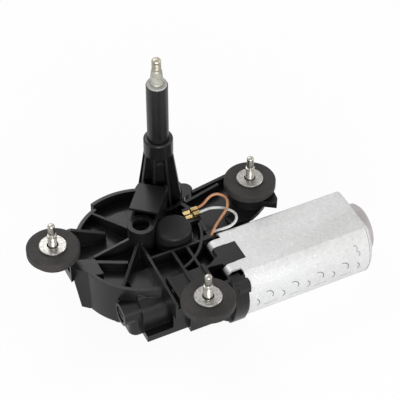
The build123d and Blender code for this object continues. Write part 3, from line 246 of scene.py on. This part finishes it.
NODE_MATERIALS = {
    "gear_housing": black_nylon, "bottom_cover": black_nylon, "switch_cap": cap_nylon, "thrust_plug": cap_nylon,
    "cover_screws": zinc_steel, "shaft_sleeve": black_paint, "sleeve_seal": seal_white, "upper_bush": bronze,
    "lower_bush": bronze, "wheel_axle": ground_steel, "motor_can": can_zinc, "magnet_front": ferrite,
    "magnet_rear": ferrite, "brush_holder": brown_plastic, "brush_front": carbon, "brush_rear": carbon,
    "brush_spring_front": ground_steel, "brush_spring_rear": ground_steel, "rear_bearing": bronze,
    "bearing_retainer": zinc_steel, "front_bearing": bronze, "tail_bush": bronze, "socket_pins": tinned,
    "terminal_brown": brass, "terminal_white": brass, "park_contacts": brass, "armature_shaft": ground_steel,
    "armature_core": dark_steel, "armature_windings": copper, "commutator": copper, "worm_wheel": acetal,
    "park_disc": brass, "crank_pin": ground_steel, "rod_clip": zinc_steel, "connecting_rod": zinc_steel,
    "output_shaft": shaft_steel, "output_lever": zinc_steel, "lever_pin": ground_steel,
}
for side in ("left", "rear", "front"):
    NODE_MATERIALS["grommet_" + side] = grey_rubber
    NODE_MATERIALS["mount_sleeve_" + side] = zinc_steel
    NODE_MATERIALS["mount_stud_" + side] = stud_steel


# ---------------------------------------------------------------- leads
LEAD_DIAMETER = 0.0018
LEADS = {
    "lead_brown": (brown_wire, 0.0573, [
        (0.0136, -0.0258, 0.0396), (0.0186, -0.0258, 0.0399), (0.0250, -0.0240, 0.0450), (0.0306, -0.0254, 0.0462),
        (0.0344, -0.0310, 0.0454), (0.0310, -0.0383, 0.0442), (0.0263, -0.0413, 0.0432), (0.0188, -0.0468, 0.0426),
        (0.0146, -0.0506, 0.0422), (0.0119, -0.0522, 0.0392)]),
    "lead_white": (white_wire, 0.0522, [
        (0.0136, -0.0299, 0.0396), (0.0189, -0.0299, 0.0402), (0.0231, -0.0323, 0.0426), (0.0308, -0.0353, 0.0416),
        (0.0344, -0.0434, 0.0426), (0.0319, -0.0498, 0.0433), (0.0262, -0.0532, 0.0432), (0.0194, -0.0506, 0.0404),
        (0.0150, -0.0489, 0.0389)]),
}
for node, (material, length, points) in LEADS.items():
    data = bpy.data.curves.new(node + "_wire", "CURVE")
    data.dimensions = "3D"
    data.bevel_depth = LEAD_DIAMETER / 2
    data.bevel_resolution = 6
    data.use_fill_caps = True
    spline = data.splines.new("NURBS")
    spline.points.add(len(points) - 1)
    for point, place in zip(spline.points, points):
        point.co = (*place, 1.0)
    spline.order_u = 3
    spline.use_endpoint_u = True
    spline.resolution_u = 16
    wire = link(bpy.data.objects.new(node + "_wire", data))
    data.materials.append(material)
    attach(wire, "housing")
    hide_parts(node)

for name, material in NODE_MATERIALS.items():
    for slot in bpy.data.objects[name].material_slots:
        slot.material = material


# ---------------------------------------------------------------- threads and knurl
MOUNTS = {"left": (-86.4, -27.8), "rear": (52.4, -27.8), "front": (-18.0, -108.9)}
PITCH = 1.0
FLANK_SHARE = 0.87  # share of the pitch that the groove takes
FLANK_SLOPE = 1.15


def ramp(value, stops):
    """Straight-line interpolation through (place, radius) stops."""
    for (a, ra), (b, rb) in zip(stops, stops[1:]):
        if value <= b:
            t = 0.0 if b == a else (value - a) / (b - a)
            return ra + (rb - ra) * max(0.0, min(1.0, t))
    return stops[-1][1]


def thread(z, angle, low, high, depth):
    """Depth of the thread's groove below its crest; it fades in and out over one pitch."""
    if z < low or z > high:
        return 0.0
    fade = min(1.0, (z - low) / PITCH, (high - z) / PITCH)
    phase = (z / PITCH - angle / (2 * math.pi)) % 1.0
    off_centre = abs(2.0 * phase - 1.0)
    return depth * fade * (1.0 - off_centre * FLANK_SLOPE if off_centre < FLANK_SHARE else 0.0)


def rows_between(stops):
    """Heights for a turned piece: (start, end, step) stretches joined end to end."""
    rows = []
    for start, end, step in stops:
        count = max(1, int(round((end - start) / step)))
        rows += [start + (end - start) * k / count for k in range(count)]
    return rows + [stops[-1][1]]


def turned_rows(name, at, rows, around, radius_at):
    """Closed piece on an upright axis, with its radius given for each height and angle."""
    verts, faces = [], []
    for z in rows:
        for j in range(around):
            a = 2 * math.pi * j / around
            r = radius_at(z, a)
            verts.append(((at[0] + r * math.cos(a)) * MM, (at[1] + r * math.sin(a)) * MM, z * MM))
    for i in range(len(rows) - 1):
        for j in range(around):
            k = (j + 1) % around
            faces.append((i * around + j, i * around + k, (i + 1) * around + k, (i + 1) * around + j))
    faces.append(tuple(reversed(range(around))))
    faces.append(tuple((len(rows) - 1) * around + j for j in range(around)))
    return mesh_object(name, verts, faces)


# The solid's shoulder ends flush with the washer. Here it ends lower, so that the photo's dark gap shows.
STUD_FORM = [(35.5, 6.5), (38.5, 6.5), (38.5, 3.6), (51.0, 3.6), (51.0, 3.0), (62.4, 3.0), (62.7, 1.95),
             (63.6, 1.95), (63.9, 2.3), (70.1, 2.3), (70.7, 2.0), (71.2, 1.2)]
STUD_THREAD = (54.0, 62.2, 0.3)
POINT_FLATS = (64.0, 70.0, 0.1)
STUD_AROUND = 40


def stud_radius(z, angle):
    r = ramp(z, STUD_FORM)
    r -= thread(z, angle, *STUD_THREAD)
    low, high, depth = POINT_FLATS
    if low < z < high:
        r -= depth * max(0.0, math.cos(3 * angle))
    return r


STUD_ROWS = rows_between([(35.5, 38.45, 3.0), (38.45, 38.55, 0.1), (38.55, 50.95, 12.4), (50.95, 51.05, 0.1),
                          (51.05, 53.9, 2.85), (53.9, 62.3, 0.125), (62.3, 64.0, 0.15), (64.0, 69.8, 1.5),
                          (69.8, 71.2, 0.14)])
for side, at in MOUNTS.items():
    stud = turned_rows("stud_" + side, at, STUD_ROWS, STUD_AROUND, stud_radius)
    set_material(stud, stud_steel)
    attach(stud, "housing")
    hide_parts("mount_stud_" + side)

SHAFT_FORM = [(7.7, 4.5), (133.2, 4.5), (133.5, 4.4), (142.8, 3.42), (143.2, 3.0), (150.2, 3.0), (151.0, 2.6),
              (151.5, 1.9), (151.7, 1.0)]
SHAFT_ROWS = rows_between([(7.7, 131.0, 60.0), (131.0, 133.4, 1.2), (133.4, 143.4, 0.4), (143.4, 150.2, 0.125),
                           (150.2, 151.7, 0.15)])
TIP_THREAD = (144.4, 150.0, 0.26)
KNURL = (133.6, 142.8, 0.26)
KNURL_TEETH = 28
SHAFT_AROUND = 4 * KNURL_TEETH
TIP_Z = 143.1       # above this the shaft has the darker finish of its threaded tip


def shaft_radius(z, angle):
    r = ramp(z, SHAFT_FORM)
    low, high, depth = KNURL
    if low < z < high:
        r -= depth * abs(math.sin(KNURL_TEETH * angle / 2))
    return r - thread(z, angle, *TIP_THREAD)


shaft = turned_rows("shaft_end", (0.0, 0.0), SHAFT_ROWS, SHAFT_AROUND, shaft_radius)
shaft.data.materials.append(shaft_steel)
shaft.data.materials.append(tip_steel)
for polygon in shaft.data.polygons:
    polygon.material_index = 1 if polygon.center.z > TIP_Z * MM else 0
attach(shaft, "output")
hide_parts("output_shaft")


# ---------------------------------------------------------------- can seam and its painted shade
MOTOR_Y, MOTOR_Z, CAN_R = -72.4, 20.7, 27.6
SEAM_HEAD_R = 3.7
SEAM_PITCH = 18.2
UPPER_HEAD = (29.0, 2.4)
LOWER_HEAD = (37.4, -4.4)
HEADS = 5
HEAD_STEPS = 12
FOOT_START, FOOT_STEP, FOOT_ANGLE = 7.5, 1.5, -14.0
CRIMP_SHADES = [(92.5, 26.0), (94.0, 16.5)]
CRIMP_SCALE = 0.55
END_LINE_X = 103.4
RIBBON_LIFT = 0.012
RIBBON_T = 0.05


def on_can(x, angle):
    """Point just off the can's round side: place along the motor and degrees above the horizontal, at the front."""
    a = math.radians(angle)
    r = CAN_R + RIBBON_LIFT
    return Vector((x, MOTOR_Y - r * math.cos(a), MOTOR_Z + r * math.sin(a))) * MM


def head(x, angle, start, end):
    """Part of a round head of the jigsaw seam, from one clock angle to another, as (x, angle) points."""
    degree = math.degrees(1.0 / CAN_R)
    steps = [math.radians(start + (end - start) * k / HEAD_STEPS) for k in range(HEAD_STEPS + 1)]
    return [(x + SEAM_HEAD_R * math.cos(t), angle + SEAM_HEAD_R * degree * math.sin(t)) for t in steps]


def groove(name, line, width):
    """Thin dark ribbon of painted shade that lies on the can along a line of (x, angle) points."""
    points = [on_can(x, angle) for x, angle in line]
    verts, faces = [], []
    for i, p in enumerate(points):
        ahead = points[min(i + 1, len(points) - 1)] - points[max(i - 1, 0)]
        out = Vector((0.0, p.y - MOTOR_Y * MM, p.z - MOTOR_Z * MM)).normalized()
        across = ahead.cross(out).normalized() * (width / 2 * MM)
        verts += [p - across, p + across]
    for i in range(len(points) - 1):
        faces.append((2 * i, 2 * i + 1, 2 * i + 3, 2 * i + 2))
    ribbon = mesh_object(name, verts, faces)
    solid = ribbon.modifiers.new("thickness", "SOLIDIFY")
    solid.thickness = RIBBON_T * MM
    solid.offset = 0.0
    set_material(ribbon, seam_shade_dark)
    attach(ribbon, "housing")


# The jigsaw seam is a real joint, but only the parts of its heads and feet that lie in shade are drawn: painted
# shade. The crimp marks are drawn the same way.
for k in range(HEADS):
    upper_x, lower_x = UPPER_HEAD[0] + SEAM_PITCH * k, LOWER_HEAD[0] + SEAM_PITCH * (k - 1)
    groove("seam_lower_%d" % k, head(lower_x, LOWER_HEAD[1], -50, 62), 0.5)
    if k < HEADS - 1:
        groove("seam_upper_%d" % k, head(upper_x, UPPER_HEAD[1], -35, 105), 0.5)
        groove("seam_foot_%d" % k, [(lower_x + FOOT_START + FOOT_STEP * j, FOOT_ANGLE) for j in range(7)], 0.26)
for k, (x, angle) in enumerate(CRIMP_SHADES):
    groove("crimp_shade_%d" % k, [(x + (u - x) * CRIMP_SCALE, angle + (v - angle) * CRIMP_SCALE)
                                 for u, v in head(x, angle, -60, 110)], 0.36)
# Painted shade along the rim where the can's end plate begins.
groove("end_line", [(END_LINE_X, -40.0 + 4.0 * j) for j in range(23)], 0.3)


# ---------------------------------------------------------------- floor, backdrop and light
FLOOR_DROP = 0.0002
FLOOR_SEEN = 0.93   # share of plain white in the floor as the camera sees it; the rest takes the shadow
WORLD_LIGHT = 0.45

floor = mesh_object("floor", [(-3, -3, 0), (3, -3, 0), (3, 3, 0), (-3, 3, 0)], [(0, 1, 2, 3)], smooth=False)
floor.location.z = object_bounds()[0].z - FLOOR_DROP


def seen_directly(tree):
    """1 for rays that come straight from the camera or by way of gloss or glass."""
    path = tree.nodes.new("ShaderNodeLightPath")
    seen = path.outputs["Is Camera Ray"]
    for ray in ("Is Glossy Ray", "Is Transmission Ray"):
        either = tree.nodes.new("ShaderNodeMath")
        either.operation = "MAXIMUM"
        tree.links.new(seen, either.inputs[0])
        tree.links.new(path.outputs[ray], either.inputs[1])
        seen = either.outputs[0]
    return seen


floor_mat = bpy.data.materials.new("floor_white")
floor_mat.use_nodes = True
tree = floor_mat.node_tree
bsdf = tree.nodes["Principled BSDF"]
bsdf.inputs["Base Color"].default_value = (0.9, 0.9, 0.9, 1.0)
bsdf.inputs["Roughness"].default_value = 0.9
bsdf.inputs["Specular IOR Level"].default_value = 0.1
glow = tree.nodes.new("ShaderNodeEmission")
glow.inputs["Color"].default_value = (1.0, 1.0, 1.0, 1.0)
mix = tree.nodes.new("ShaderNodeMixShader")
share = tree.nodes.new("ShaderNodeMath")
share.operation = "MULTIPLY"
share.inputs[1].default_value = FLOOR_SEEN
tree.links.new(seen_directly(tree), share.inputs[0])
tree.links.new(share.outputs[0], mix.inputs[0])
tree.links.new(bsdf.outputs[0], mix.inputs[1])
tree.links.new(glow.outputs[0], mix.inputs[2])
tree.links.new(mix.outputs[0], tree.nodes["Material Output"].inputs["Surface"])
set_material(floor, floor_mat)

world = bpy.data.worlds.new("studio")
bpy.context.scene.world = world
world.use_nodes = True
tree = world.node_tree
background = tree.nodes["Background"]
background.inputs["Color"].default_value = (1.0, 1.0, 1.0, 1.0)
strength = tree.nodes.new("ShaderNodeMapRange")
strength.inputs["To Min"].default_value = WORLD_LIGHT
strength.inputs["To Max"].default_value = 1.0
tree.links.new(seen_directly(tree), strength.inputs["Value"])
tree.links.new(strength.outputs["Result"], background.inputs["Strength"])


def softbox(name, place, target, size, power):
    data = bpy.data.lights.new(name, "AREA")
    data.shape = "RECTANGLE"
    data.size, data.size_y = size
    data.energy = power
    lamp = link(bpy.data.objects.new(name, data))
    lamp.location = place
    lamp.rotation_euler = (Vector(target) - Vector(place)).to_track_quat("-Z", "Y").to_euler()


softbox("key", (-0.35, -1.25, 0.4), (0.03, -0.08, 0.02), (0.8, 0.35), 14.5)
softbox("strip", (-0.15, 0.9, 0.95), (0.0, -0.05, 0.03), (1.1, 0.2), 6.0)
softbox("side", (1.1, -0.5, 0.6), (0.05, -0.05, 0.03), (0.5, 0.5), 3.0)

bpy.context.scene.view_settings.view_transform = "Standard"
